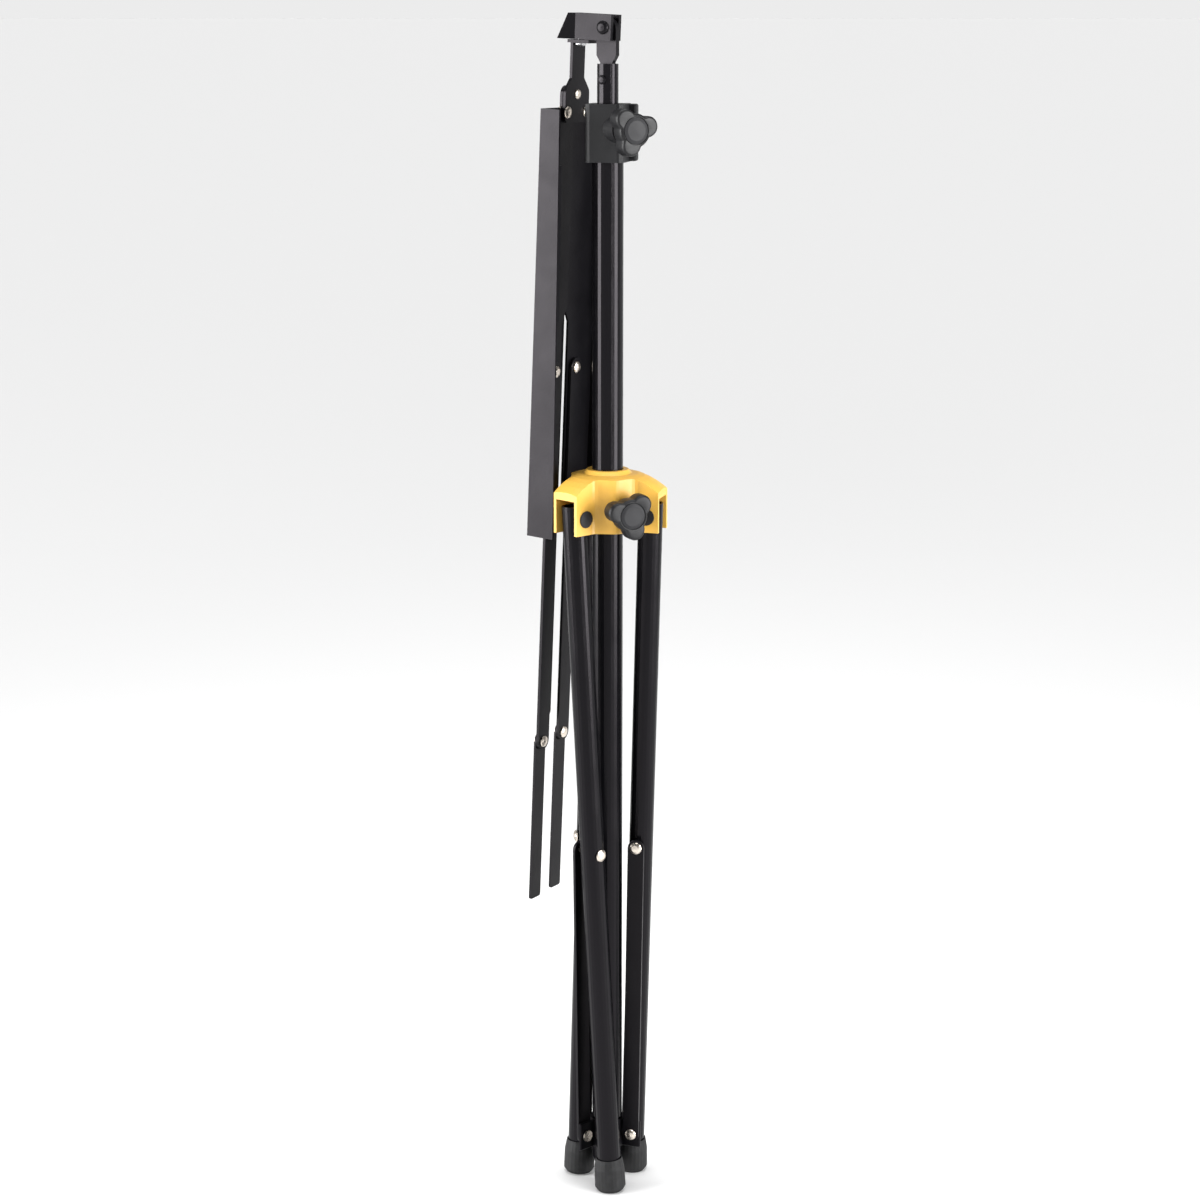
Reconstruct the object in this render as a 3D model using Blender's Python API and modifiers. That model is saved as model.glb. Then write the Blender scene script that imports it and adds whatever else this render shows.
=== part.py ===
"""Folding music stand, folded for carrying.

A strip-steel desk hangs beside a two-piece telescopic mast. Under it a sliding
hub carries three tubular legs, and three braces tie the legs to a bracket at
the mast's foot. Metres, +Z up, floor at Z = 0.

Three local frames repeat through the file:
  desk frame   X across the desk, Y away from the mast, Z up, origin on the tilt bolt
  spoke frame  X outward from the mast, Y sideways, Z up, one for each leg
  knob frame   Z outward along the clamping screw
"""
import math

import bmesh
import bpy
from mathutils import Matrix

# ---------------------------------------------------------------- driving dimensions
MAST_X = 0.00565             # mast axis, so that the folded stand is centred on the origin
MAST_Y = -0.00645
FACE_GAP = 0.0003           # gap between pieces that touch
SEGMENTS = 28               # sides of a turned piece

# mast
OUTER_TUBE_RADIUS = 0.00775
OUTER_TUBE_WALL = 0.0010
OUTER_TUBE_BOTTOM = 0.0120
OUTER_TUBE_TOP = 0.5450
INNER_TUBE_RADIUS = 0.0052
INNER_TUBE_WALL = 0.0010
INNER_TUBE_BOTTOM = 0.2600
INNER_TUBE_TOP = 0.5810
BUSH_LENGTH = 0.0200

# collar that clamps the inner tube
COLLAR_BOTTOM = 0.5340
COLLAR_TOP = 0.5620
COLLAR_HALF_WIDTH = 0.0098
COLLAR_KNOB_AZIMUTH = math.radians(-62)
COLLAR_KNOB_Z = 0.5500
COLLAR_KNOB_TWIST = math.radians(-16)
COLLAR_TURN = math.radians(-14)      # a flat face looks this way
COLLAR_BOSS_RADIUS = 0.0068
COLLAR_BOSS_REACH = 0.0172

# clamping knobs
KNOB_RADIUS = 0.0082
KNOB_LOBE_RADIUS = 0.0049
KNOB_LOBE_CENTRE = 0.0078
KNOB_WAIST = 0.0083
KNOB_THICKNESS = 0.0085
KNOB_CAP_RADIUS = 0.0064
KNOB_NECK = 0.0030
KNOB_NECK_RADIUS = 0.0062
SCREW_RADIUS = 0.0025

# tilt head
TILT_Z = 0.5982
DESK_TURN = math.radians(57)        # turn of the desk frame about the mast
DESK_LEAN = math.radians(2.6)       # the hanging desk leans away from the mast
TONGUE_THICKNESS = 0.0030
TONGUE_HALF_WIDTH = 0.0056
TONGUE_BOTTOM = 0.5640
TONGUE_STUB = 0.0035                # half width of the part held inside the inner tube
BOLT_RADIUS = 0.0023
HEAD_PLATE = 0.0022
HEAD_INSIDE = 0.0024                # half the clear width between the head's cheeks
HEAD_BACK = 0.0240
HEAD_CHANNEL_END = 0.0125           # the fork is solid beyond this
FLANGE_FRONT = 0.0075               # front edge of the bracket's flange under the fork
HEAD_SCREW_X = 0.0022
HEAD_SCREW_Y = 0.0168
HEAD_FRONT = -0.0046
HEAD_HALF_HEIGHT = 0.0062

# desk, in the desk frame: across = s, depth = layer
DESK_CENTRE = 0.0055
STEEL = 0.0012
BAR_STEEL = 0.0015
BRACKET_LAYER = 0.0198
LEFT_WEB_LAYER = 0.0216
RIGHT_WEB_LAYER = 0.0231
LEFT_BAR_LAYER = 0.0198
RIGHT_BAR_LAYER = 0.0213
CENTRE_BAR_LAYER = 0.0258
LEDGE_PIVOT = 0.0083                # ledge pivots, either side of the desk's centre
LEDGE_PIVOT_Z = 0.5565
LEDGE_SHELF = 0.0275                # shelf plane, either side of the desk's centre
LEDGE_SHELF_DEPTH = 0.0103          # at the pivot end
LEDGE_SHELF_DEPTH_END = 0.0148      # at the free end
LEDGE_TOP_Z = 0.5588
LEDGE_END_Z = 0.3465
LEDGE_STEP_Z = 0.4560               # the web and the lip are cut back below this
LEDGE_WIDE_WEB = 0.0277
LEDGE_NARROW_WEB = 0.0235
LEDGE_LIP = 0.0030
LEDGE_LIP_TOP_Z = 0.5320
BAR_OFFSET = 0.0104
BAR_WIDTH = 0.0096
BAR_PIVOT_Z = 0.4282
BAR_END_Z = 0.2300
CENTRE_BAR_WIDTH = 0.0085
CENTRE_BAR_TOP_Z = 0.5690
CENTRE_BAR_END_Z = 0.2430
CENTRE_BAR_RIVET_Z = 0.2903
ARM_PIVOT_Z = 0.2345
ARM_END_Z = 0.1480
ARM_CORNER = 0.0012
RIVET_RADIUS = 0.0016
RIVET_HEAD_RADIUS = 0.0030
RIVET_HEAD_HEIGHT = 0.0011

# tripod
SPOKE_AZIMUTHS = {"front": math.radians(-137), "right": math.radians(-17), "rear": math.radians(103)}
HUB_BOTTOM = 0.3520
HUB_TOP = 0.3820
HUB_SHOULDER = 0.3705
HUB_COLLAR_RADIUS = 0.0105
HUB_REACH = 0.0288
HUB_LOBE_HALF_WIDTH = 0.0084
HUB_LOBE_ROOT = 0.0182              # where a lobe's flat sides begin
HUB_FACE_RADIUS = 0.0190            # middle of the smooth face between two lobes
HUB_FACE_BEND = 0.0030              # how softly that face runs into the lobes
HUB_SLOT_HALF_WIDTH = 0.0066
HUB_SLOT_INNER = 0.0120
HUB_PIN_REACH = 0.0225
HUB_PIN_Z = 0.3600
HUB_KNOB_AZIMUTH = math.radians(-67)
HUB_KNOB_Z = 0.3630
HUB_KNOB_START = 0.0235             # where the knob's body begins, out from the mast axis
HUB_KNOB_TWIST = math.radians(14)   # how far its lowest lobe is turned from straight down
LEG_RADIUS = 0.0062
LEG_WALL = 0.0009
LEG_FOOT_REACH = 0.0100
LEG_FOOT_SIDE = 0.0130
LEG_FOOT_Z = 0.0040
LEG_TOP_LENGTH = 0.0060
LEG_BRACE_LENGTH = 0.1750           # hub pin to brace rivet, along the leg
FOOT_RADIUS = 0.0079
FOOT_HEIGHT = 0.0185
BRACE_SIDE = -0.0039                # outer face of the brace strip
BRACE_STEEL = 0.0015
BRACE_WIDTH = 0.0085
BRACE_PIN_REACH = 0.0140
BRACE_PIN_Z = 0.0268
BRACKET_BOTTOM = 0.0192
BRACKET_TOP = 0.0345
BRACKET_WALL = 0.0010
PIN_RADIUS = 0.0020


# ---------------------------------------------------------------- scene helpers
def clear_scene():
    for item in list(bpy.data.objects):
        bpy.data.objects.remove(item, do_unlink=True)


def make_collection(name):
    collection = bpy.data.collections.new(name)
    bpy.context.scene.collection.children.link(collection)
    return collection


def make_material(name, colour, roughness, metallic):
    material = bpy.data.materials.new(name)
    material.use_nodes = True
    shader = material.node_tree.nodes["Principled BSDF"]
    shader.inputs["Base Color"].default_value = (*colour, 1.0)
    shader.inputs["Roughness"].default_value = roughness
    shader.inputs["Metallic"].default_value = metallic
    return material


def move(x=0.0, y=0.0, z=0.0):
    return Matrix.Translation((x, y, z))


def turn(angle, axis):
    return Matrix.Rotation(angle, 4, axis)


def make_frame(name, matrix, parent=None):
    empty = bpy.data.objects.new(name, None)
    PARTS.objects.link(empty)
    empty.empty_display_size = 0.01
    empty.parent = parent
    empty.matrix_local = matrix
    return empty


def finish(obj, parent, matrix, material):
    """Put a new piece in the parts collection, on its frame, with its material."""
    for collection in list(obj.users_collection):
        collection.objects.unlink(obj)
    PARTS.objects.link(obj)
    obj.parent = parent
    obj.matrix_local = matrix
    obj.data.materials.append(material)
    obj.data.shade_smooth()
    obj.data.set_sharp_from_angle(angle=math.radians(35))
    return obj


# ---------------------------------------------------------------- shape helpers
def circle(x, y, radius, count=16):
    return [(x + radius * math.cos(k * math.tau / count),
             y + radius * math.sin(k * math.tau / count)) for k in range(count)]


def arc(x, y, radius, start, end, count=8):
    return [(x + radius * math.cos(start + (end - start) * k / count),
             y + radius * math.sin(start + (end - start) * k / count)) for k in range(count + 1)]


def bend(start, first, second, end, count=7):
    """Points along a cubic curve from start up to, but without, its end."""
    points = []
    for k in range(count):
        t = k / count
        shares = ((1 - t) ** 3, 3 * t * (1 - t) ** 2, 3 * t * t * (1 - t), t ** 3)
        pairs = list(zip(shares, (start, first, second, end)))
        points.append(tuple(sum(share * corner[axis] for share, corner in pairs) for axis in (0, 1)))
    return points


def stadium(low, high, width, x=0.0, corner=None):
    """Outline of a strip from y = low to y = high. Its ends are round, or the low one is cut square
    with small rounded corners."""
    radius = width / 2
    top = arc(x, high - radius, radius, 0, math.pi, 10)
    if corner is None:
        return top + arc(x, low + radius, radius, math.pi, math.tau, 10)
    inset = radius - corner
    return (top + arc(x - inset, low + corner, corner, math.pi, 1.5 * math.pi, 3)
            + arc(x + inset, low + corner, corner, 1.5 * math.pi, math.tau, 3))


def plate_mesh(name, loops, thickness):
    """A flat plate in XY, centred on Z = 0. The first loop is its outline, the rest are holes."""
    curve = bpy.data.curves.new(name, "CURVE")
    curve.dimensions = "2D"
    curve.fill_mode = "BOTH"
    curve.extrude = thickness / 2
    for loop in loops:
        spline = curve.splines.new("POLY")
        spline.points.add(len(loop) - 1)
        for point, (x, y) in zip(spline.points, loop):
            point.co = (x, y, 0.0, 1.0)
        spline.use_cyclic_u = True
    carrier = bpy.data.objects.new(name, curve)
    bpy.context.scene.collection.objects.link(carrier)
    depsgraph = bpy.context.evaluated_depsgraph_get()
    mesh = bpy.data.meshes.new_from_object(carrier.evaluated_get(depsgraph))
    bpy.data.objects.remove(carrier, do_unlink=True)
    bpy.data.curves.remove(curve)
    shape = bmesh.new()
    shape.from_mesh(mesh)
    bmesh.ops.remove_doubles(shape, verts=shape.verts, dist=1e-6)
    bmesh.ops.recalc_face_normals(shape, faces=shape.faces)
    shape.to_mesh(mesh)
    shape.free()
    mesh.name = name
    mesh.materials.clear()
    return mesh


def plate(name, loops, thickness, parent, matrix, material):
    obj = bpy.data.objects.new(name, plate_mesh(name, loops, thickness))
    return finish(obj, parent, matrix, material)


def turned(name, profile, parent, matrix, material, closed=False, steps=SEGMENTS):
    """A turned piece about its own Z. The profile is (radius, z), outer side from top to bottom."""
    mesh = bpy.data.meshes.new(name)
    edges = [(k, k + 1) for k in range(len(profile) - 1)]
    if closed:
        edges.append((len(profile) - 1, 0))
    mesh.from_pydata([(radius, 0.0, z) for radius, z in profile], edges, [])
    obj = bpy.data.objects.new(name, mesh)
    screw = obj.modifiers.new("Screw", "SCREW")
    screw.axis = "Z"
    screw.angle = math.tau
    screw.steps = steps
    screw.render_steps = steps
    screw.use_merge_vertices = True
    screw.merge_threshold = 1e-6
    screw.use_smooth_shade = True
    return finish(obj, parent, matrix, material)


def ring_profile(outer, inner, low, high):
    return [(outer, high), (outer, low), (inner, low), (inner, high)]


def pipe(name, outer, wall, low, high, parent, matrix, material, steps=SEGMENTS):
    return turned(name, ring_profile(outer, outer - wall, low, high), parent, matrix, material,
                  closed=True, steps=steps)


def box_mesh(name, low, high, bevel=0.0, segments=2):
    """A box between two corners, with rounded edges."""
    shape = bmesh.new()
    bmesh.ops.create_cube(shape, size=1.0)
    for vert in shape.verts:
        for k in range(3):
            vert.co[k] = low[k] if vert.co[k] < 0 else high[k]
    if bevel:
        bmesh.ops.bevel(shape, geom=list(shape.edges), offset=bevel, segments=segments,
                        profile=0.5, affect="EDGES")
    mesh = bpy.data.meshes.new(name)
    shape.to_mesh(mesh)
    shape.free()
    return mesh


def box(name, low, high, parent, matrix, material, bevel=0.0):
    obj = bpy.data.objects.new(name, box_mesh(name, low, high, bevel))
    return finish(obj, parent, matrix, material)


def cutter(mesh, owner, matrix):
    """A hidden cutter placed in its owner's own frame."""
    obj = bpy.data.objects.new(owner.name + "_cutter", mesh)
    CUTTERS.objects.link(obj)
    obj.parent = owner
    obj.matrix_local = matrix
    obj.hide_render = True
    obj.display_type = "WIRE"
    return obj


def boolean(owner, tool, operation="DIFFERENCE"):
    modifier = owner.modifiers.new("Boolean", "BOOLEAN")
    modifier.operation = operation
    modifier.object = tool
    modifier.solver = "EXACT"


def cylinder_mesh(name, radius, low, high, count=20):
    shape = bmesh.new()
    bmesh.ops.create_cone(shape, cap_ends=True, segments=count, radius1=radius, radius2=radius,
                          depth=high - low)
    bmesh.ops.translate(shape, verts=shape.verts, vec=(0, 0, (high + low) / 2))
    mesh = bpy.data.meshes.new(name)
    shape.to_mesh(mesh)
    shape.free()
    return mesh


def drill(owner, radius, low, high, matrix, count=20):
    boolean(owner, cutter(cylinder_mesh("drill", radius, low, high, count), owner, matrix))


def join_meshes(name, pieces):
    """One mesh from several (mesh, matrix) pairs, kept as separate closed bodies."""
    shape = bmesh.new()
    for mesh, matrix in pieces:
        mesh.transform(matrix)
        shape.from_mesh(mesh)
    result = bpy.data.meshes.new(name)
    shape.to_mesh(result)
    shape.free()
    return result


def spun_mesh(name, profile, steps=18):
    """A small turned body about Z, built straight into a mesh."""
    shape = bmesh.new()
    verts = [shape.verts.new((radius, 0.0, z)) for radius, z in profile]
    edges = [shape.edges.new(pair) for pair in zip(verts, verts[1:])]
    bmesh.ops.spin(shape, geom=verts + edges, cent=(0, 0, 0), axis=(0, 0, 1),
                   angle=math.tau, steps=steps, use_merge=True)
    bmesh.ops.remove_doubles(shape, verts=shape.verts, dist=1e-6)
    bmesh.ops.recalc_face_normals(shape, faces=shape.faces)
    mesh = bpy.data.meshes.new(name)
    shape.to_mesh(mesh)
    shape.free()
    return mesh


def rivet_mesh(name, shank, head, height, low, high, tail=None):
    """A rivet along Z: a domed head above high, and a flat tail below low."""
    tail_head = head if tail is None else tail
    profile = [(0.0, high + height), (head * 0.55, high + height * 0.85), (head * 0.9, high + height * 0.4),
               (head, high), (shank, high), (shank, low), (tail_head, low),
               (tail_head, low - height * 0.7), (0.0, low - height * 0.7)]
    return spun_mesh(name, profile)


def rivet(name, low, high, parent, matrix, material, shank=RIVET_RADIUS, head=RIVET_HEAD_RADIUS,
          height=RIVET_HEAD_HEIGHT):
    obj = bpy.data.objects.new(name, rivet_mesh(name, shank, head, height, low, high))
    return finish(obj, parent, matrix, material)


# ---------------------------------------------------------------- mast
def build_mast():
    pipe("outer_tube", OUTER_TUBE_RADIUS, OUTER_TUBE_WALL, OUTER_TUBE_BOTTOM, OUTER_TUBE_TOP,
         MAST, Matrix(), BLACK_PAINT)
    bore = OUTER_TUBE_RADIUS - OUTER_TUBE_WALL - FACE_GAP
    pipe("tube_bush", bore, bore - INNER_TUBE_RADIUS - FACE_GAP, OUTER_TUBE_TOP - BUSH_LENGTH,
         OUTER_TUBE_TOP - 0.001, MAST, Matrix(), BLACK_PLASTIC)
    plug = [(0.0, OUTER_TUBE_BOTTOM + 0.010), (bore, OUTER_TUBE_BOTTOM + 0.010),
            (bore, OUTER_TUBE_BOTTOM - FACE_GAP), (OUTER_TUBE_RADIUS, OUTER_TUBE_BOTTOM - FACE_GAP),
            (OUTER_TUBE_RADIUS - 0.001, OUTER_TUBE_BOTTOM - 0.003), (0.0, OUTER_TUBE_BOTTOM - 0.003)]
    turned("mast_end_plug", plug, MAST, Matrix(), BLACK_PLASTIC)
    pipe("inner_tube", INNER_TUBE_RADIUS, INNER_TUBE_WALL, INNER_TUBE_BOTTOM, INNER_TUBE_TOP,
         INNER, Matrix(), BLACK_PAINT)


def build_collar():
    """A moulded block round the joint of the two tubes, with a boss for the clamping screw."""
    half = COLLAR_HALF_WIDTH
    outline = (arc(half - 0.003, half - 0.003, 0.003, 0, math.pi / 2, 4)
               + arc(0.003 - half, half - 0.003, 0.003, math.pi / 2, math.pi, 4)
               + arc(0.003 - half, 0.003 - half, 0.003, math.pi, 1.5 * math.pi, 4)
               + arc(half - 0.003, 0.003 - half, 0.003, 1.5 * math.pi, math.tau, 4))
    middle = (COLLAR_TOP + COLLAR_BOTTOM) / 2
    collar = plate("collar", [outline], COLLAR_TOP - COLLAR_BOTTOM, MAST,
                   turn(COLLAR_TURN, "Z") @ move(z=middle), BLACK_PLASTIC)
    outward = (turn(COLLAR_KNOB_AZIMUTH - COLLAR_TURN, "Z") @ move(z=COLLAR_KNOB_Z - middle)
               @ turn(math.pi / 2, "Y"))
    boss = cylinder_mesh("boss", COLLAR_BOSS_RADIUS, 0.0, COLLAR_BOSS_REACH, 28)
    boolean(collar, cutter(boss, collar, outward), "UNION")
    ear = box_mesh("ear", (0.0, half - 0.0060, -0.0138), (half + 0.0036, half - 0.0005, 0.0138), 0.0010)
    boolean(collar, cutter(ear, collar, Matrix()), "UNION")
    drill(collar, OUTER_TUBE_RADIUS + FACE_GAP, -0.02, OUTER_TUBE_TOP - middle + FACE_GAP, Matrix(), 32)
    drill(collar, INNER_TUBE_RADIUS + FACE_GAP, -0.02, 0.03, Matrix(), 28)
    drill(collar, SCREW_RADIUS + FACE_GAP, 0.0, 0.04, outward)


def knob_outline(twist):
    """Three round lobes with a hollow flank between each pair."""
    points = []
    for k in range(3):
        middle = twist + k * math.tau / 3
        x, y = KNOB_LOBE_CENTRE * math.cos(middle), KNOB_LOBE_CENTRE * math.sin(middle)
        points += arc(x, y, KNOB_LOBE_RADIUS, middle - math.radians(92), middle + math.radians(92), 9)
        flank = middle + math.pi / 3
        for bend in (-20, 0, 20):
            reach = KNOB_WAIST + (0.0004 if bend else 0.0)
            points.append((reach * math.cos(flank + math.radians(bend)),
                           reach * math.sin(flank + math.radians(bend))))
    return points


def build_knob(name, frame, body_start, screw_start, twist):
    """A three-lobed knob on its screw. Z runs outward and the knob starts at body_start."""
    mesh = plate_mesh(name, [knob_outline(twist)], KNOB_THICKNESS)
    knob = bpy.data.objects.new(name, mesh)
    finish(knob, frame, move(z=body_start + KNOB_THICKNESS / 2), BLACK_PLASTIC)
    bevel = knob.modifiers.new("Bevel", "BEVEL")
    bevel.width = 0.0011
    bevel.segments = 2
    bevel.limit_method = "ANGLE"
    bevel.angle_limit = math.radians(50)
    neck = cylinder_mesh("neck", KNOB_NECK_RADIUS, -KNOB_THICKNESS / 2 - KNOB_NECK, 0.0, 24)
    boolean(knob, cutter(neck, knob, Matrix()), "UNION")
    drill(knob, KNOB_CAP_RADIUS + FACE_GAP, KNOB_THICKNESS / 2 - 0.0012, 0.02, Matrix(), 28)
    drill(knob, SCREW_RADIUS + FACE_GAP, -0.02, 0.0, Matrix())
    top = body_start + KNOB_THICKNESS
    cap = [(0.0, top + 0.0006), (KNOB_CAP_RADIUS * 0.75, top + 0.0005), (KNOB_CAP_RADIUS, top - 0.0001),
           (KNOB_CAP_RADIUS, top - 0.0012 + FACE_GAP), (0.0, top - 0.0012 + FACE_GAP)]
    turned(name + "_cap", cap, frame, Matrix(), DARK_CAP)
    end = body_start + KNOB_THICKNESS / 2 - FACE_GAP
    screw = [(0.0, end), (SCREW_RADIUS, end), (SCREW_RADIUS, screw_start), (0.0, screw_start)]
    turned(name + "_screw", screw, frame, Matrix(), ZINC, steps=16)


# ---------------------------------------------------------------- tilt head
def build_tilt_head():
    """The mast's flattened tongue, and the forked head that turns on it with the desk."""
    tongue_top = TILT_Z + TONGUE_HALF_WIDTH
    shoulder = TILT_Z - 0.0010
    outline = (arc(0, shoulder, TONGUE_HALF_WIDTH, 0, math.pi, 12)
               + [(-TONGUE_HALF_WIDTH, INNER_TUBE_TOP + 0.0040), (-TONGUE_STUB, INNER_TUBE_TOP + 0.0006),
                  (-TONGUE_STUB, TONGUE_BOTTOM), (TONGUE_STUB, TONGUE_BOTTOM),
                  (TONGUE_STUB, INNER_TUBE_TOP + 0.0006), (TONGUE_HALF_WIDTH, INNER_TUBE_TOP + 0.0040)])
    outline = [(x, z - TILT_Z) for x, z in outline]
    stand_up = turn(math.pi / 2, "Z") @ turn(math.pi / 2, "X")
    tongue = plate("mast_tongue", [outline, circle(0, 0, BOLT_RADIUS + FACE_GAP, 20)],
                   TONGUE_THICKNESS, HEAD_FIXED, stand_up, BLACK_PAINT)
    drill(tongue, RIVET_RADIUS + FACE_GAP, -0.02, 0.02, move(y=0.5735 - TILT_Z))
    inner = bpy.data.objects["inner_tube"]
    slot = box_mesh("slot", (-TONGUE_THICKNESS / 2 - FACE_GAP, -TONGUE_STUB - FACE_GAP, TONGUE_BOTTOM),
                    (TONGUE_THICKNESS / 2 + FACE_GAP, TONGUE_STUB + FACE_GAP, tongue_top))
    boolean(inner, cutter(slot, inner, turn(DESK_TURN, "Z")))
    across = turn(DESK_TURN, "Z") @ move(z=0.5735) @ turn(math.pi / 2, "Y")
    drill(inner, RIVET_RADIUS + FACE_GAP, -0.02, 0.02, across)
    reach = INNER_TUBE_RADIUS + FACE_GAP
    rivet("mast_tongue_rivet", -reach, reach, HEAD_FIXED,
          move(z=0.5735 - TILT_Z) @ turn(-math.pi / 2, "Y"), BLACK_PAINT, head=0.0023, height=0.0006)

    cheek = HEAD_INSIDE + HEAD_PLATE
    flare = 0.0035
    outline = [(-HEAD_INSIDE, HEAD_FRONT), (-HEAD_INSIDE, HEAD_CHANNEL_END),
               (HEAD_INSIDE, HEAD_CHANNEL_END), (HEAD_INSIDE, HEAD_FRONT),
               (cheek, HEAD_FRONT), (cheek, HEAD_BACK - 0.0080),
               (cheek + flare, HEAD_BACK), (-cheek - flare, HEAD_BACK), (-cheek, HEAD_BACK - 0.0080),
               (-cheek, HEAD_FRONT)]
    head = plate("tilt_head", [outline], 2 * HEAD_HALF_HEIGHT, DESK, Matrix(), BLACK_PAINT)
    drill(head, BOLT_RADIUS + FACE_GAP, -0.02, 0.02, turn(math.pi / 2, "Y"))
    slope = math.atan2(0.0046, 2 * HEAD_HALF_HEIGHT)
    wedge = box_mesh("wedge", (-0.02, 0.0, -0.03), (0.02, 0.02, 0.03))
    boolean(head, cutter(wedge, head, move(y=HEAD_BACK - 0.0023) @ turn(slope, "X")))
    drill(head, RIVET_RADIUS + FACE_GAP, -0.02, -0.0015, move(x=HEAD_SCREW_X, y=HEAD_SCREW_Y))
    bolt = rivet_mesh("tilt_bolt", BOLT_RADIUS, 0.0033, 0.0016, -cheek - FACE_GAP, cheek + FACE_GAP)
    finish(bpy.data.objects.new("tilt_bolt", bolt), HEAD_FIXED, turn(-math.pi / 2, "Y"), BLACK_PAINT)


def build_desk_bracket():
    """A shouldered strap under the head. Its top is bent in below the head, towards the mast."""
    half = 0.0105
    neck = 0.0055
    low = LEDGE_PIVOT_Z - 0.0052 - TILT_Z
    shoulder = 0.5694 - TILT_Z
    top = -HEAD_HALF_HEIGHT - FACE_GAP - BAR_STEEL / 2
    c = DESK_CENTRE
    outline = (arc(c + half - 0.003, low + 0.003, 0.003, -math.pi / 2, 0, 4)
               + arc(c + half - 0.004, shoulder - 0.004, 0.004, 0, math.radians(40), 4)
               + [(c + neck, shoulder + 0.0035), (c + neck, top),
                  (c - neck, top), (c - neck, shoulder + 0.0035)]
               + arc(c - half + 0.004, shoulder - 0.004, 0.004, math.radians(140), math.pi, 4)
               + arc(c - half + 0.003, low + 0.003, 0.003, math.pi, 1.5 * math.pi, 4))
    pivot = LEDGE_PIVOT_Z - TILT_Z
    holes = [circle(c - LEDGE_PIVOT, pivot, RIVET_RADIUS + FACE_GAP),
             circle(c + LEDGE_PIVOT, pivot, RIVET_RADIUS + FACE_GAP),
             circle(c, 0.5651 - TILT_Z, RIVET_RADIUS + FACE_GAP)]
    stand = move(y=BRACKET_LAYER + BAR_STEEL / 2) @ turn(math.pi / 2, "X")
    bracket = plate("desk_bracket", [outline] + holes, BAR_STEEL, DESK, stand, BLACK_PAINT)
    flange = box_mesh("flange", (-0.0040, top - BAR_STEEL / 2, 0.0),
                      (c + neck - 0.0004, top + BAR_STEEL / 2, BRACKET_LAYER - FLANGE_FRONT))
    boolean(bracket, cutter(flange, bracket, Matrix()), "UNION")
    below = BRACKET_LAYER + BAR_STEEL / 2 - HEAD_SCREW_Y
    drill(bracket, RIVET_RADIUS + FACE_GAP, -0.02, 0.02,
          move(x=HEAD_SCREW_X, y=top, z=below) @ turn(math.pi / 2, "X"))
    under = -HEAD_HALF_HEIGHT - FACE_GAP - BAR_STEEL - FACE_GAP
    screw = [(0.0, under - 0.0014), (0.0016, under - 0.0013), (0.0027, under - 0.0007), (0.0027, under),
             (RIVET_RADIUS, under), (RIVET_RADIUS, -0.0020), (0.0, -0.0020)]
    turned("head_screw", list(reversed(screw)), DESK, move(x=HEAD_SCREW_X, y=HEAD_SCREW_Y), ZINC, steps=16)


# ---------------------------------------------------------------- desk
def desk_stand(layer, thickness):
    """Places a plate drawn in (across, height) at a layer behind the mast, in the desk frame."""
    return move(y=layer + thickness / 2) @ turn(math.pi / 2, "X")


def build_ledge(name, side, frame, layer):
    """An L-section ledge: a web in the desk's plane and a shelf towards the mast."""
    pivot = side * LEDGE_PIVOT
    shelf = side * LEDGE_SHELF - pivot
    end = LEDGE_END_Z - LEDGE_PIVOT_Z
    step = LEDGE_STEP_Z - LEDGE_PIVOT_Z
    top = LEDGE_TOP_Z - LEDGE_PIVOT_Z
    wide = shelf - side * LEDGE_WIDE_WEB
    narrow = shelf - side * LEDGE_NARROW_WEB
    outline = [(shelf, end), (shelf, top), (wide, top), (wide, step + 0.004),
               (narrow, step - 0.004), (narrow, end)]
    if side > 0:
        outline.reverse()
    bar_pivot = (side * BAR_OFFSET - pivot, BAR_PIVOT_Z - LEDGE_PIVOT_Z)
    holes = [circle(0, 0, RIVET_RADIUS + FACE_GAP), circle(*bar_pivot, RIVET_RADIUS + FACE_GAP)]
    ledge = plate(name, [outline] + holes, STEEL, frame, desk_stand(layer, STEEL), BLACK_PAINT)
    extra = layer_shift(layer)
    slope = (LEDGE_SHELF_DEPTH_END - LEDGE_SHELF_DEPTH) / (top - end)

    def depth_at(height):
        return LEDGE_SHELF_DEPTH + extra + slope * (top - height)

    side_on = turn(math.pi / 2, "Z") @ turn(math.pi / 2, "X")
    panel = plate_mesh("shelf", [[(end, -STEEL / 2), (top, -STEEL / 2), (top, depth_at(top)),
                                  (end, depth_at(end))]], STEEL)
    boolean(ledge, cutter(panel, ledge, move(x=shelf - side * STEEL / 2) @ side_on), "UNION")
    lip_top = LEDGE_LIP_TOP_Z - LEDGE_PIVOT_Z
    lip = plate_mesh("lip", [[(step, depth_at(step) - STEEL), (lip_top, depth_at(lip_top) - STEEL),
                              (lip_top, depth_at(lip_top)), (step, depth_at(step))]], LEDGE_LIP)
    boolean(ledge, cutter(lip, ledge, move(x=shelf - side * LEDGE_LIP / 2) @ side_on), "UNION")
    return ledge


def layer_shift(layer):
    """Both shelves end at the same distance from the mast, though their webs lie one behind the other."""
    return layer - LEFT_WEB_LAYER


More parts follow.
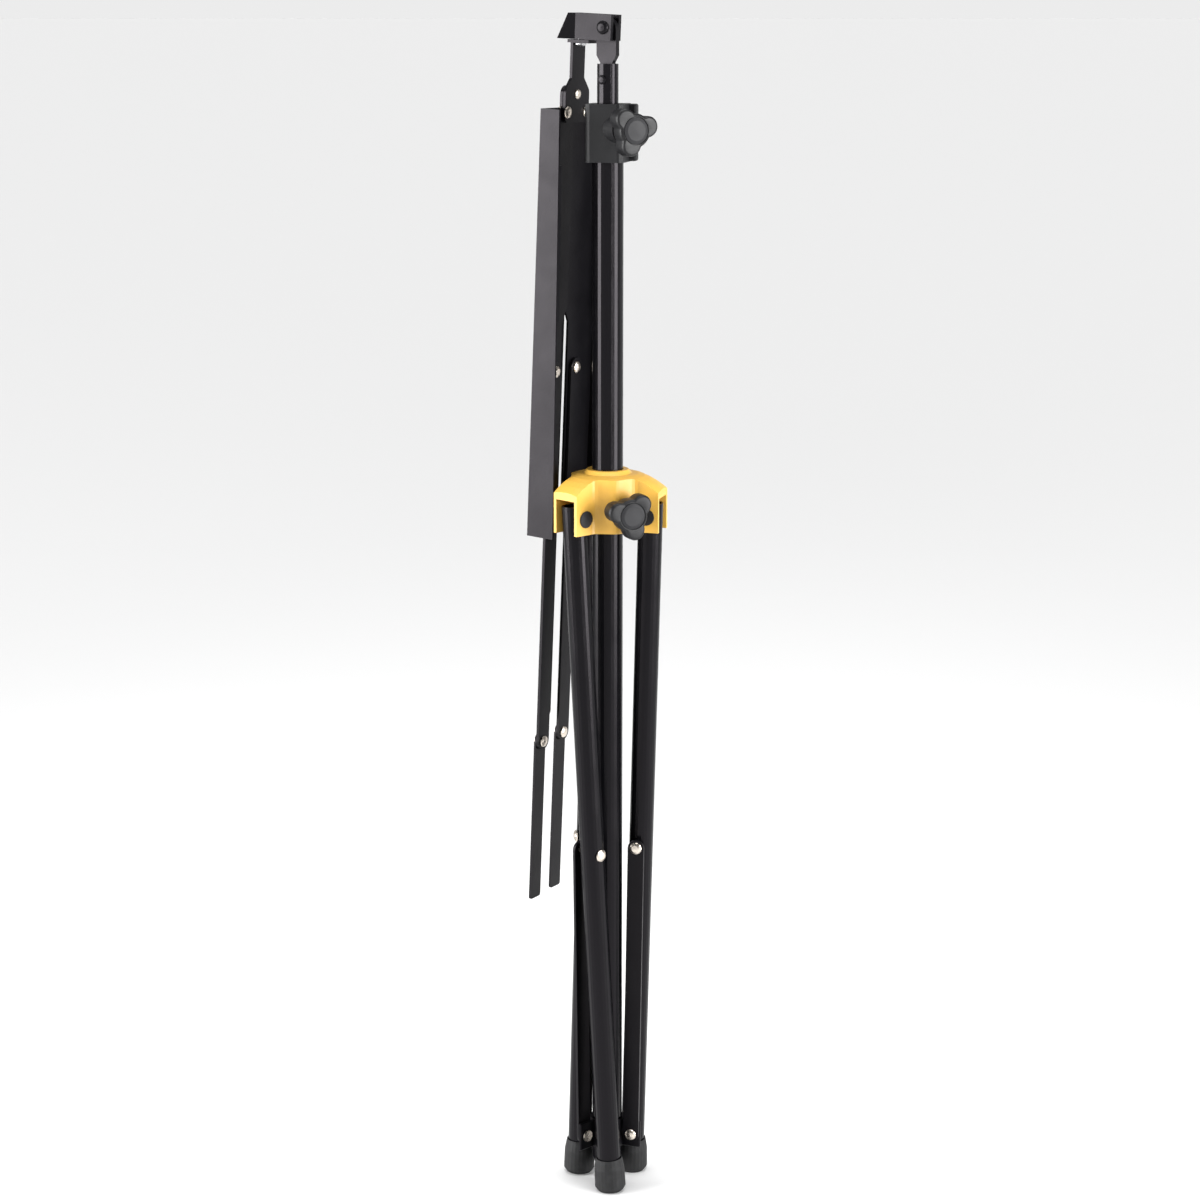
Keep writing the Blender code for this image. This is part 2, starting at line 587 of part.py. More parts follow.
def build_desk():
    base = TILT_Z
    c = DESK_CENTRE
    sides = {"left": (-1, LEFT_WEB_LAYER, LEFT_BAR_LAYER), "right": (1, RIGHT_WEB_LAYER, RIGHT_BAR_LAYER)}
    for word, (side, web_layer, bar_layer) in sides.items():
        pivot_x = c + side * LEDGE_PIVOT
        ledge = make_frame(word + "_ledge_frame", move(x=pivot_x, z=LEDGE_PIVOT_Z - base), DESK)
        build_ledge(word + "_ledge", side, ledge, web_layer)
        back = web_layer + STEEL + FACE_GAP
        rivet(word + "_ledge_rivet", -back, -BRACKET_LAYER + FACE_GAP, DESK,
              move(x=pivot_x, z=LEDGE_PIVOT_Z - base) @ turn(math.pi / 2, "X"), NICKEL)

        bar_x = side * (BAR_OFFSET - LEDGE_PIVOT)
        bar = make_frame(word + "_bar_frame", move(x=bar_x, z=BAR_PIVOT_Z - LEDGE_PIVOT_Z), ledge)
        low = BAR_END_Z - BAR_PIVOT_Z
        outline = stadium(low, BAR_WIDTH / 2, BAR_WIDTH)
        arm_drop = ARM_PIVOT_Z - BAR_PIVOT_Z
        holes = [circle(0, 0, RIVET_RADIUS + FACE_GAP), circle(0, arm_drop, RIVET_RADIUS + FACE_GAP)]
        plate(word + "_bar", [outline] + holes, BAR_STEEL, bar, desk_stand(bar_layer, BAR_STEEL),
              BLACK_PAINT)
        rivet(word + "_bar_rivet", -web_layer - STEEL - FACE_GAP, -bar_layer + FACE_GAP, ledge,
              move(x=bar_x, z=BAR_PIVOT_Z - LEDGE_PIVOT_Z) @ turn(math.pi / 2, "X"), NICKEL)

        arm = make_frame(word + "_arm_frame", move(z=arm_drop), bar)
        arm_layer = bar_layer + BAR_STEEL + FACE_GAP
        arm_low = ARM_END_Z - ARM_PIVOT_Z
        arm_outline = stadium(arm_low, BAR_WIDTH / 2 - 0.0003, BAR_WIDTH - 0.0006, corner=ARM_CORNER)
        plate(word + "_arm", [arm_outline, circle(0, 0, RIVET_RADIUS + FACE_GAP)], STEEL, arm,
              desk_stand(arm_layer, STEEL), BLACK_PAINT)
        rivet(word + "_arm_rivet", -arm_layer - STEEL - FACE_GAP, -bar_layer + FACE_GAP, bar,
              move(z=arm_drop) @ turn(math.pi / 2, "X"), NICKEL)

    outline = stadium(CENTRE_BAR_END_Z - base, CENTRE_BAR_TOP_Z - base, CENTRE_BAR_WIDTH, c)
    holes = [circle(c, 0.5651 - base, RIVET_RADIUS + FACE_GAP),
             circle(c, CENTRE_BAR_RIVET_Z - base, RIVET_RADIUS + FACE_GAP)]
    plate("centre_bar", [outline] + holes, BAR_STEEL, DESK, desk_stand(CENTRE_BAR_LAYER, BAR_STEEL),
          BLACK_PAINT)
    spacer_front = BRACKET_LAYER + BAR_STEEL + FACE_GAP
    spacer = ring_profile(0.0022, RIVET_RADIUS + FACE_GAP, -CENTRE_BAR_LAYER + FACE_GAP, -spacer_front)
    across = move(x=c, z=0.5651 - base) @ turn(math.pi / 2, "X")
    turned("centre_bar_spacer", spacer, DESK, across, ZINC, closed=True, steps=16)
    rivet("centre_bar_rivet", -CENTRE_BAR_LAYER - BAR_STEEL - FACE_GAP, -BRACKET_LAYER + FACE_GAP, DESK,
          across, NICKEL, shank=RIVET_RADIUS - 0.0001, head=0.0024, height=0.0008)
    rivet("centre_bar_end_rivet", -CENTRE_BAR_LAYER - BAR_STEEL - FACE_GAP, -CENTRE_BAR_LAYER + FACE_GAP,
          DESK, move(x=c, z=CENTRE_BAR_RIVET_Z - base) @ turn(math.pi / 2, "X"), NICKEL,
          head=0.0028, height=0.0008)


# ---------------------------------------------------------------- tripod
def hub_lobe(name, half_width, inner, outer, low, high, azimuth):
    mesh = box_mesh(name, (inner, -half_width, low), (outer, half_width, high))
    mesh.transform(turn(azimuth, "Z"))
    return mesh


def build_hub():
    """A domed moulding with three slotted lobes, and a barrel that slides on the outer tube."""
    azimuths = list(SPOKE_AZIMUTHS.values())
    out_x, out_y = math.cos(math.pi / 3), math.sin(math.pi / 3)
    face = (HUB_FACE_RADIUS * out_x, HUB_FACE_RADIUS * out_y)
    flank = bend((HUB_LOBE_ROOT, HUB_LOBE_HALF_WIDTH), (HUB_LOBE_ROOT - HUB_FACE_BEND, HUB_LOBE_HALF_WIDTH),
                 (face[0] + HUB_FACE_BEND * out_y, face[1] - HUB_FACE_BEND * out_x), face)
    side = [(HUB_REACH, HUB_LOBE_HALF_WIDTH)] + flank + [face]
    lobe = [(x, -y) for x, y in reversed(side[:-1])] + side
    outline = []
    for azimuth in sorted(azimuths):
        along, across = math.cos(azimuth), math.sin(azimuth)
        outline += [(x * along - y * across, x * across + y * along) for x, y in lobe]
    middle = (HUB_BOTTOM + HUB_TOP) / 2
    hub = plate("leg_hub", [outline], HUB_TOP - HUB_BOTTOM, HUB, move(z=middle), YELLOW_PLASTIC)
    dome = [(0.0, HUB_TOP), (HUB_COLLAR_RADIUS, HUB_TOP), (HUB_COLLAR_RADIUS + 0.0008, HUB_TOP - 0.0010)]
    for k in range(7):
        share = k / 6
        radius = HUB_COLLAR_RADIUS + 0.0016 + (HUB_REACH + 0.0016 - HUB_COLLAR_RADIUS) * share
        dome.append((radius, HUB_TOP - 0.0018 - (HUB_TOP - 0.0018 - HUB_SHOULDER) * share ** 1.9))
    dome += [(HUB_REACH + 0.0032, HUB_BOTTOM - 0.001), (0.0, HUB_BOTTOM - 0.001)]
    keep = spun_mesh("dome", [(radius, z - middle) for radius, z in dome], 48)
    boolean(hub, cutter(keep, hub, Matrix()), "INTERSECT")
    slot_high = HUB_PIN_Z + 0.0092 - middle
    for azimuth in azimuths:
        slot = hub_lobe("slot", HUB_SLOT_HALF_WIDTH, HUB_SLOT_INNER, 0.05, -0.03, slot_high, azimuth)
        boolean(hub, cutter(slot, hub, Matrix()))
        across = turn(azimuth, "Z") @ move(x=HUB_PIN_REACH, z=HUB_PIN_Z - middle) @ turn(math.pi / 2, "X")
        drill(hub, PIN_RADIUS + FACE_GAP, -0.012, 0.012, across)
    drill(hub, OUTER_TUBE_RADIUS + FACE_GAP, -0.03, 0.03, Matrix(), 40)
    outward = turn(HUB_KNOB_AZIMUTH, "Z") @ move(z=HUB_KNOB_Z - middle) @ turn(math.pi / 2, "Y")
    drill(hub, SCREW_RADIUS + FACE_GAP, 0.0, 0.04, outward)
    return hub


def leg_matrix():
    """The leg's own Z runs from its foot up to the hub pin, leaning in and sideways."""
    rise = HUB_PIN_Z - LEG_FOOT_Z
    direction = Matrix.Identity(3).col[2].copy()
    direction.x = HUB_PIN_REACH - LEG_FOOT_REACH
    direction.y = -LEG_FOOT_SIDE
    direction.z = rise
    return direction.to_track_quat("Z", "Y").to_matrix().to_4x4(), direction.length


def build_leg(word, spoke):
    rotation, length = leg_matrix()
    leg_frame = make_frame(word + "_leg_frame", move(x=HUB_PIN_REACH, z=HUB_PIN_Z), spoke)
    leg = pipe(word + "_leg", LEG_RADIUS, LEG_WALL, -length, LEG_TOP_LENGTH, leg_frame, rotation, BLACK_PAINT,
               steps=24)
    across = rotation.inverted() @ turn(math.pi / 2, "X")
    drill(leg, PIN_RADIUS + FACE_GAP, -0.02, 0.02, across)
    half = HUB_LOBE_HALF_WIDTH + FACE_GAP
    pin = rivet_mesh(word + "_hub_pin", PIN_RADIUS, 0.0043, 0.0008, -half, half)
    place = turn(SPOKE_AZIMUTHS[word], "Z") @ move(x=HUB_PIN_REACH, z=HUB_PIN_Z) @ turn(-math.pi / 2, "X")
    finish(bpy.data.objects.new(word + "_hub_pin", pin), HUB, place, DARK_CAP)

    foot_tip = -length
    floor_drop = LEG_FOOT_Z
    inside = LEG_RADIUS + FACE_GAP
    sole = foot_tip - floor_drop - 0.0003
    foot = [(0.0, foot_tip - FACE_GAP), (inside, foot_tip - FACE_GAP), (inside, sole + FOOT_HEIGHT),
            (inside + 0.0004, sole + FOOT_HEIGHT), (FOOT_RADIUS, sole + FOOT_HEIGHT - 0.0055),
            (FOOT_RADIUS + 0.0002, sole + 0.0027), (FOOT_RADIUS - 0.0012, sole + 0.0006),
            (FOOT_RADIUS - 0.0028, sole), (0.0, sole)]
    rubber = turned(word + "_foot", foot, leg_frame, rotation, RUBBER, steps=24)
    below = box_mesh("below", (-0.05, -0.05, -0.02), (0.05, 0.05, 0.0))
    boolean(rubber, cutter(below, rubber, rotation.inverted() @ move(z=-HUB_PIN_Z)))

    rivet_at = rotation @ move(z=-LEG_BRACE_LENGTH)
    low = rivet_at.translation.y + LEG_RADIUS
    centre = move(x=rivet_at.translation.x, y=rivet_at.translation.y, z=rivet_at.translation.z)
    head = [(0.0, LEG_RADIUS + 0.0016), (0.0018, LEG_RADIUS + 0.0014), (0.0029, LEG_RADIUS + 0.0008),
            (0.0032, LEG_RADIUS + FACE_GAP), (0.0016, LEG_RADIUS + FACE_GAP), (0.0016, -LEG_RADIUS + 0.0015),
            (0.0, -LEG_RADIUS + 0.0015)]
    drill(leg, 0.0016 + FACE_GAP, 0.0, 0.02, rotation.inverted() @ centre @ turn(-math.pi / 2, "X"))
    turned(word + "_leg_rivet", head, leg_frame, centre @ turn(-math.pi / 2, "X"), NICKEL, steps=16)
    return low


def build_brace(word, spoke):
    """A flat strip beside the leg, from the foot bracket up to the leg's rivet."""
    rotation, _ = leg_matrix()
    top = move(x=HUB_PIN_REACH, z=HUB_PIN_Z) @ rotation @ move(z=-LEG_BRACE_LENGTH)
    run = top.translation.x - BRACE_PIN_REACH
    rise = top.translation.z - BRACE_PIN_Z
    length = math.hypot(run, rise)
    frame = make_frame(word + "_brace_frame",
                       move(x=BRACE_PIN_REACH, z=BRACE_PIN_Z) @ turn(math.atan2(run, rise), "Y"), spoke)
    outline = stadium(-BRACE_WIDTH / 2, length + BRACE_WIDTH / 2, BRACE_WIDTH)
    holes = [circle(0, 0, RIVET_RADIUS + FACE_GAP), circle(0, length, RIVET_RADIUS + FACE_GAP)]
    place = move(y=BRACE_SIDE + BRACE_STEEL / 2) @ turn(math.pi / 2, "X")
    plate(word + "_brace", [outline] + holes, BRACE_STEEL, frame, place, BLACK_PAINT)
    head = [(0.0, 0.0015), (0.0018, 0.0013), (0.0029, 0.0007), (0.0032, FACE_GAP), (RIVET_RADIUS, FACE_GAP),
            (RIVET_RADIUS, -BRACE_STEEL), (0.0, -BRACE_STEEL)]
    turned(word + "_brace_rivet", head, frame, move(y=BRACE_SIDE, z=length) @ turn(math.pi / 2, "X"), NICKEL,
           steps=16)
    return length


def build_foot_bracket():
    """A sheet-steel ring on the mast's foot with one ear for each brace."""
    middle = (BRACKET_TOP + BRACKET_BOTTOM) / 2
    inner = OUTER_TUBE_RADIUS + FACE_GAP
    bracket = turned("foot_bracket", ring_profile(inner + BRACKET_WALL, inner, BRACKET_BOTTOM - middle,
                                                  BRACKET_TOP - middle), MAST, move(z=middle), BLACK_PAINT,
                     closed=True)
    ear_high = BRACE_SIDE + BRACE_STEEL + FACE_GAP + BRACE_STEEL
    ear_low = BRACE_SIDE + BRACE_STEEL + FACE_GAP
    for azimuth in SPOKE_AZIMUTHS.values():
        ear = box_mesh("ear", (0.0079, ear_low, BRACKET_BOTTOM - middle),
                       (0.0188, ear_high, BRACKET_TOP - middle), 0.0006, 1)
        boolean(bracket, cutter(ear, bracket, turn(azimuth, "Z")), "UNION")
        across = turn(azimuth, "Z") @ move(x=BRACE_PIN_REACH, z=BRACE_PIN_Z - middle) @ turn(math.pi / 2, "X")
        drill(bracket, RIVET_RADIUS + FACE_GAP, -0.012, 0.012, across)
    for word, azimuth in SPOKE_AZIMUTHS.items():
        place = turn(azimuth, "Z") @ move(x=BRACE_PIN_REACH, z=BRACE_PIN_Z) @ turn(math.pi / 2, "X")
        rivet(word + "_bracket_rivet", -ear_high - FACE_GAP, -BRACE_SIDE + FACE_GAP, MAST, place, NICKEL)


# ---------------------------------------------------------------- assembly
clear_scene()
PARTS = make_collection("music_stand")
CUTTERS = make_collection("cutters")
BLACK_PAINT = make_material("black_powder_coat", (0.030, 0.030, 0.034), 0.35, 0.0)
BLACK_PLASTIC = make_material("black_moulded_plastic", (0.035, 0.035, 0.040), 0.55, 0.0)
DARK_CAP = make_material("dark_grey_plastic", (0.050, 0.050, 0.055), 0.50, 0.0)
YELLOW_PLASTIC = make_material("yellow_moulded_plastic", (0.88, 0.50, 0.07), 0.40, 0.0)
NICKEL = make_material("nickel_rivet", (0.75, 0.70, 0.64), 0.25, 1.0)
ZINC = make_material("zinc_screw", (0.55, 0.55, 0.56), 0.35, 1.0)
RUBBER = make_material("black_rubber", (0.045, 0.045, 0.048), 0.75, 0.0)

MAST = make_frame("mast_frame", move(MAST_X, MAST_Y))
INNER = make_frame("inner_tube_frame", Matrix(), MAST)
HEAD_FIXED = make_frame("head_frame", move(z=TILT_Z) @ turn(DESK_TURN, "Z"), INNER)
DESK = make_frame("desk_frame", move(z=TILT_Z) @ turn(DESK_TURN, "Z") @ turn(DESK_LEAN, "X"), INNER)
HUB = make_frame("hub_frame", Matrix(), MAST)

build_mast()
build_collar()
collar_knob_place = turn(COLLAR_KNOB_AZIMUTH, "Z") @ move(z=COLLAR_KNOB_Z) @ turn(math.pi / 2, "Y")
COLLAR_KNOB = make_frame("collar_knob_frame", collar_knob_place, MAST)
build_knob("collar_knob", COLLAR_KNOB, COLLAR_BOSS_REACH + KNOB_NECK + FACE_GAP, INNER_TUBE_RADIUS + 0.0006,
           COLLAR_KNOB_TWIST)
hub_knob_place = turn(HUB_KNOB_AZIMUTH, "Z") @ move(z=HUB_KNOB_Z) @ turn(math.pi / 2, "Y")
HUB_KNOB = make_frame("hub_knob_frame", hub_knob_place, HUB)
build_hub()
build_knob("hub_knob", HUB_KNOB, HUB_KNOB_START, OUTER_TUBE_RADIUS + 0.0006, HUB_KNOB_TWIST)
build_tilt_head()
build_desk_bracket()
build_desk()
build_foot_bracket()
for spoke_word, spoke_azimuth in SPOKE_AZIMUTHS.items():
    hub_spoke = make_frame(spoke_word + "_hub_spoke", turn(spoke_azimuth, "Z"), HUB)
    mast_spoke = make_frame(spoke_word + "_mast_spoke", turn(spoke_azimuth, "Z"), MAST)
    build_leg(spoke_word, hub_spoke)
    build_brace(spoke_word, mast_spoke)
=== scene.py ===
import math

import bmesh
import bpy
from mathutils import Matrix, Vector


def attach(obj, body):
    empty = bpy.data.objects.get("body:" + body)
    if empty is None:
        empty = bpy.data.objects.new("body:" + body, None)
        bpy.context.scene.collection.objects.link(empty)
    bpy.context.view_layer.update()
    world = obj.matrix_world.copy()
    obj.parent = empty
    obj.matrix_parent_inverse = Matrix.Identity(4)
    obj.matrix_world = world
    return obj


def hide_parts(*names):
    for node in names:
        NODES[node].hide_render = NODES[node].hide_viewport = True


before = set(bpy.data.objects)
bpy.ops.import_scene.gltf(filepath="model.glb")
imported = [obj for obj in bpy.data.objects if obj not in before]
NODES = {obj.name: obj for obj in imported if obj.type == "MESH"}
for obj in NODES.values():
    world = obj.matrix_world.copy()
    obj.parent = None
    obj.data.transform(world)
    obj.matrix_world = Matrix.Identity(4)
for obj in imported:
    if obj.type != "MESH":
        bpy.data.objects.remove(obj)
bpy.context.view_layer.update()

# ---------------------------------------------------------------- named values
MAST_X, MAST_Y = 0.00565, -0.00645   # the mast's axis
CAMERA_DISTANCE = 1.300              # in front of the mast's axis
CAMERA_HEIGHT = 0.605
CAMERA_SIDE = -0.0038                # sideways from that axis
CAMERA_PITCH = math.radians(12.6)
CAMERA_LENS = 78.78
SENSOR_WIDTH = 36.0                  # millimetres, as the lens is
EDGE_ROUND = 0.00025                 # rounding of a cut or bent steel edge
MOULDED_ROUND = 0.0006               # rounding of a moulded edge
SHARP_ANGLE = math.radians(35)       # edges that turn by more than this are rounded
WEAR_RADIUS = 0.0005

COLLAR_KNOB_AZIMUTH = math.radians(-62)
COLLAR_KNOB_Z = 0.5500
COLLAR_KNOB_START = 0.0205
COLLAR_KNOB_TWIST = math.radians(-16)
HUB_KNOB_AZIMUTH = math.radians(-67)
HUB_KNOB_Z = 0.3630
HUB_KNOB_START = 0.0235
HUB_KNOB_TWIST = math.radians(14)
KNOB_LOBE_RADIUS = 0.0049
KNOB_LOBE_CENTRE = 0.0078
KNOB_WAIST = 0.0083
KNOB_THICKNESS = 0.0085
KNOB_NECK = 0.0030
KNOB_NECK_RADIUS = 0.0062
KNOB_CAP_RADIUS = 0.0064
KNOB_CAP_GAP = 0.0003
KNOB_CAP_DEPTH = 0.0010
KNOB_BORE = 0.0030                   # radius of the hole for the clamping screw
KNOB_TOP_ROUND = 0.0016
KNOB_FOOT_ROUND = 0.0012
KNOB_STEPS = 96                      # points round the knob's outline
KNOB_BLEND = 9.0                     # how tightly the waist runs into the lobes
KNOB_BLEND_SCALE = 0.985             # keeps the blended outline inside the CAD knob

PAINT = (0.0030, 0.0029, 0.0036)
PAINT_WORN = (0.022, 0.022, 0.026)
PLASTIC = (0.0060, 0.0060, 0.0070)
CAP = (0.014, 0.014, 0.016)
YELLOW = (0.700, 0.400, 0.065)
NICKEL = (0.720, 0.650, 0.570)
ZINC = (0.500, 0.500, 0.510)
RUBBER = (0.0075, 0.0075, 0.0080)
FLOOR = (0.800, 0.800, 0.800)

FLOOR_REACH = 300.0                  # so far that its edge is the horizon
WALL_LIGHT = 0.10
BACKDROP_LIGHT = 0.84
BACKDROP_TOP, WALL_START = 0.12, 0.36     # sines of the heights between which the backdrop fades
OVERHEAD_LIGHT = 3.0
OVERHEAD_SIZE = math.radians(50)
OVERHEAD_TILT = math.radians(-8)
SOFTBOX_SPREAD = math.radians(80)
SOFTBOX_HEIGHT = 1.3
SOFTBOX_TARGET = Vector((0.0, 0.0, 0.33))
# name: place, width and power
SOFTBOXES = {
    "left_softbox": (Vector((-1.45, -0.40, 0.50)), 1.00, 14.0),
    "right_softbox": (Vector((1.25, -0.75, 0.50)), 0.90, 11.5),
}


# ---------------------------------------------------------------- materials
def node(tree, kind, **inputs):
    made = tree.nodes.new(kind)
    for name, value in inputs.items():
        made.inputs[name.replace("_", " ")].default_value = value
    return made


def start_material(name, colour, roughness, metallic=0.0):
    material = bpy.data.materials.new(name)
    material.use_nodes = True
    tree = material.node_tree
    shader = tree.nodes["Principled BSDF"]
    shader.inputs["Base Color"].default_value = (*colour, 1.0)
    shader.inputs["Roughness"].default_value = roughness
    shader.inputs["Metallic"].default_value = metallic
    place = tree.nodes.new("ShaderNodeTexCoord").outputs["Object"]
    return material, tree, shader, place


def noise(tree, place, scale, detail=3.0, rough=0.5):
    texture = node(tree, "ShaderNodeTexNoise", Scale=scale, Detail=detail, Roughness=rough)
    tree.links.new(place, texture.inputs["Vector"])
    return texture.outputs["Fac"]


def spread(tree, value, low, high, start=0.0, end=1.0):
    """Maps a value between start and end to one between low and high."""
    mapped = node(tree, "ShaderNodeMapRange", From_Min=start, From_Max=end, To_Min=low, To_Max=high)
    tree.links.new(value, mapped.inputs["Value"])
    return mapped.outputs["Result"]


def bump(tree, shader, height, strength, distance, below=None):
    bumped = node(tree, "ShaderNodeBump", Strength=strength, Distance=distance)
    tree.links.new(height, bumped.inputs["Height"])
    if below is not None:
        tree.links.new(below, bumped.inputs["Normal"])
    tree.links.new(bumped.outputs["Normal"], shader.inputs["Normal"])
    return bumped.outputs["Normal"]


def mix_colour(tree, factor, first, second):
    mixed = tree.nodes.new("ShaderNodeMix")
    mixed.data_type = "RGBA"
    mixed.inputs["A"].default_value = (*first, 1.0)
    mixed.inputs["B"].default_value = (*second, 1.0)
    tree.links.new(factor, mixed.inputs["Factor"])
    return mixed.outputs["Result"]


def edge_mask(tree, radius):
    """1 on a sharp edge and 0 on a flat face."""
    rounded = node(tree, "ShaderNodeBevel", Radius=radius)
    rounded.samples = 4
    flat = tree.nodes.new("ShaderNodeNewGeometry")
    dot = tree.nodes.new("ShaderNodeVectorMath")
    dot.operation = "DOT_PRODUCT"
    tree.links.new(rounded.outputs["Normal"], dot.inputs[0])
    tree.links.new(flat.outputs["Normal"], dot.inputs[1])
    return spread(tree, dot.outputs["Value"], 1.0, 0.0, 0.86, 0.995)


def powder_coat(name, roughness=0.36):
    """Black powder coat: orange peel, uneven gloss and slightly rubbed edges."""
    material, tree, shader, place = start_material(name, PAINT, roughness)
    shader.inputs["Specular IOR Level"].default_value = 0.15
    shader.inputs["Specular Tint"].default_value = (1.0, 0.93, 1.0, 1.0)
    wear = tree.nodes.new("ShaderNodeMath")
    wear.operation = "MULTIPLY"
    tree.links.new(edge_mask(tree, WEAR_RADIUS), wear.inputs[0])
    tree.links.new(spread(tree, noise(tree, place, 320.0), 0.0, 0.7, 0.45, 0.70), wear.inputs[1])
    tree.links.new(mix_colour(tree, wear.outputs["Value"], PAINT, PAINT_WORN), shader.inputs["Base Color"])
    tree.links.new(spread(tree, noise(tree, place, 60.0, 4.0), roughness - 0.04, roughness + 0.06, 0.3, 0.7),
                   shader.inputs["Roughness"])
    peel = bump(tree, shader, noise(tree, place, 900.0, 2.0), 0.10, 0.0004)
    bump(tree, shader, noise(tree, place, 4000.0, 2.0), 0.05, 0.0001, peel)
    return material


def moulded(name, colour, roughness, grain=0.12, tint=0.85, shine=0.30):
    """Injection-moulded plastic: spark-eroded grain, and slow changes in colour and gloss."""
    material, tree, shader, place = start_material(name, colour, roughness)
    shader.inputs["Specular IOR Level"].default_value = shine
    darker = tuple(channel * tint for channel in colour)
    shade = spread(tree, noise(tree, place, 45.0, 3.0), 0.0, 1.0, 0.35, 0.65)
    tree.links.new(mix_colour(tree, shade, colour, darker), shader.inputs["Base Color"])
    tree.links.new(spread(tree, noise(tree, place, 120.0, 4.0), roughness - 0.05, roughness + 0.07, 0.3, 0.7),
                   shader.inputs["Roughness"])
    coarse = bump(tree, shader, noise(tree, place, 1500.0, 4.0, 0.65), grain, 0.0004)
    bump(tree, shader, noise(tree, place, 6000.0, 2.0), grain * 0.6, 0.0001, coarse)
    return material


def plated(name, colour, roughness):
    """Nickel or zinc plate with fine scratches and handling marks."""
    material, tree, shader, place = start_material(name, colour, roughness, 1.0)
    scuffs = noise(tree, place, 700.0, 5.0, 0.6)
    gloss = spread(tree, scuffs, roughness - 0.08, roughness + 0.15, 0.3, 0.7)
    tree.links.new(gloss, shader.inputs["Roughness"])
    bump(tree, shader, noise(tree, place, 2500.0, 3.0), 0.06, 0.0002)
    return material


def rubber(name):
    material, tree, shader, place = start_material(name, RUBBER, 0.62)
    shader.inputs["Specular IOR Level"].default_value = 0.30
    dusty = tuple(channel * 1.9 for channel in RUBBER)
    dust = spread(tree, noise(tree, place, 260.0, 5.0), 0.0, 1.0, 0.45, 0.75)
    tree.links.new(mix_colour(tree, dust, RUBBER, dusty), shader.inputs["Base Color"])
    bump(tree, shader, noise(tree, place, 1800.0, 4.0, 0.6), 0.22, 0.0004)
    return material


POWDER = powder_coat("powder_coat")
TUBE_PAINT = powder_coat("powder_coat_tube", 0.20)
BLACK_PLASTIC = moulded("black_plastic", PLASTIC, 0.46)
CAP_PLASTIC = moulded("cap_plastic", CAP, 0.55, 0.2)
HUB_PLASTIC = moulded("hub_plastic", YELLOW, 0.36, 0.05, 0.93, 0.45)
NICKEL_PLATE = plated("nickel_plate", NICKEL, 0.26)
ZINC_PLATE = plated("zinc_plate", ZINC, 0.36)
FOOT_RUBBER = rubber("foot_rubber")

TUBES = ("outer_tube", "inner_tube", "front_leg", "right_leg", "rear_leg")


def pick_material(name):
    if name in TUBES:
        return TUBE_PAINT
    if name.endswith("_foot"):
        return FOOT_RUBBER
    if name.endswith("_cap") or name.endswith("_hub_pin"):
        return CAP_PLASTIC
    if name.endswith("_screw") or name.endswith("_spacer"):
        return ZINC_PLATE
    if name in ("mast_tongue_rivet", "tilt_bolt"):
        return POWDER
    if name.endswith("_rivet"):
        return NICKEL_PLATE
    if name == "leg_hub":
        return HUB_PLASTIC
    if name in ("collar", "collar_knob", "hub_knob", "tube_bush", "mast_end_plug"):
        return BLACK_PLASTIC
    return POWDER


def dress_node(name, obj):
    """Gives a CAD node its finish, and small rounded edges that catch the light."""
    obj.data.materials.clear()
    obj.data.materials.append(pick_material(name))
    if name.endswith("_rivet") or name == "tilt_bolt":
        return      # turned heads, which are round already
    rounding = obj.modifiers.new("edge_round", "BEVEL")
    moulded_part = name in ("leg_hub", "collar") or name.endswith("_foot")
    rounding.width = MOULDED_ROUND if moulded_part else EDGE_ROUND
    rounding.segments = 3 if moulded_part else 2
    rounding.limit_method = "ANGLE"
    rounding.angle_limit = SHARP_ANGLE
    rounding.harden_normals = True


for node_name, node_object in NODES.items():
    dress_node(node_name, node_object)


# ---------------------------------------------------------------- knobs
def knob_radius(angle):
    """Reach of the knob's outline at an angle: the further of the waist circle and the nearest lobe."""
    off = abs((angle + math.pi / 3) % (math.tau / 3) - math.pi / 3)
    across = KNOB_LOBE_CENTRE * math.sin(off)
    if across >= KNOB_LOBE_RADIUS:
        return KNOB_WAIST
    lobe = KNOB_LOBE_CENTRE * math.cos(off) + math.sqrt(KNOB_LOBE_RADIUS ** 2 - across ** 2)
    # a soft maximum of the two, so that the flank runs into the lobe in a fillet
    return (lobe ** KNOB_BLEND + KNOB_WAIST ** KNOB_BLEND) ** (1 / KNOB_BLEND) * KNOB_BLEND_SCALE


def knob_section():
    """(share of the outline, added radius, height) down the knob, from under its cap to its neck's foot,
    and back up its bore."""
    top = KNOB_THICKNESS
    cap_floor = top - KNOB_CAP_DEPTH
    seat = KNOB_CAP_RADIUS + KNOB_CAP_GAP
    rows = [(0.0, seat, cap_floor), (0.0, seat, top - 0.0001), (0.0, seat + 0.0003, top)]
    for k in range(7):
        turn = k / 6 * math.pi / 2
        rows.append((1.0, -KNOB_TOP_ROUND * (1 - math.sin(turn)),
                     top - 0.0002 - KNOB_TOP_ROUND * (1 - math.cos(turn))))
    for k in range(5):
        turn = k / 4 * math.pi / 2
        rows.append((1.0, -KNOB_FOOT_ROUND * (1 - math.cos(turn)), KNOB_FOOT_ROUND * (1 - math.sin(turn))))
    rows += [(0.0, KNOB_NECK_RADIUS + 0.0004, 0.0), (0.0, KNOB_NECK_RADIUS, -0.0004),
             (0.0, KNOB_NECK_RADIUS, -KNOB_NECK + 0.0002), (0.0, KNOB_NECK_RADIUS - 0.0002, -KNOB_NECK),
             (0.0, KNOB_BORE, -KNOB_NECK), (0.0, KNOB_BORE, cap_floor)]
    return rows


